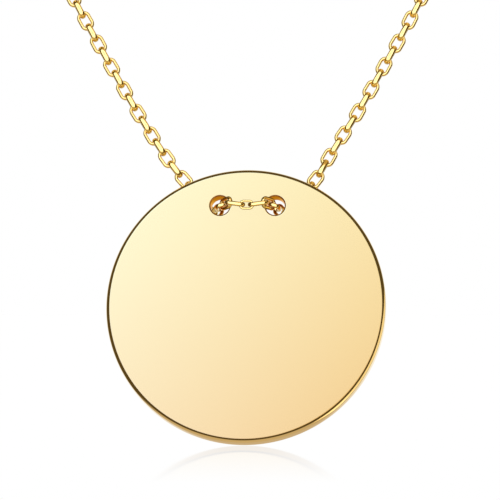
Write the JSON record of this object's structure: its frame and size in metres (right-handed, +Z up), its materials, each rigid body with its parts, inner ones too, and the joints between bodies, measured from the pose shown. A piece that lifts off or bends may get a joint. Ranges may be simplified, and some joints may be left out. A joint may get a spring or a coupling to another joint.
{
  "type": "disc pendant on a fine cable chain",
  "caption": "Plain round disc pendant, polished gold, threaded on a fine cable chain through two small holes near its edge; whole necklace, hanging.",
  "frame": {"origin": "the middle of the clasp at the nape, where the necklace hangs on the back of a neck", "axes": "+Z up, -Y to the wearer's front, +X to the wearer's left"},
  "size_m": [0.1, 0.1058, 0.1475],
  "materials": {
    "disc_gold": "gold-plated brass, cut and polished to a mirror",
    "chain_gold": "gold-plated brass wire, soldered and bright",
    "clasp_gold": "gold-plated brass, polished"
  },
  "bodies": {
    "root": {"disc": "disc_gold", "front_chain": "chain_gold", "neck_chain": "chain_gold", "clasp": "clasp_gold"}
  },
  "joints": []
}
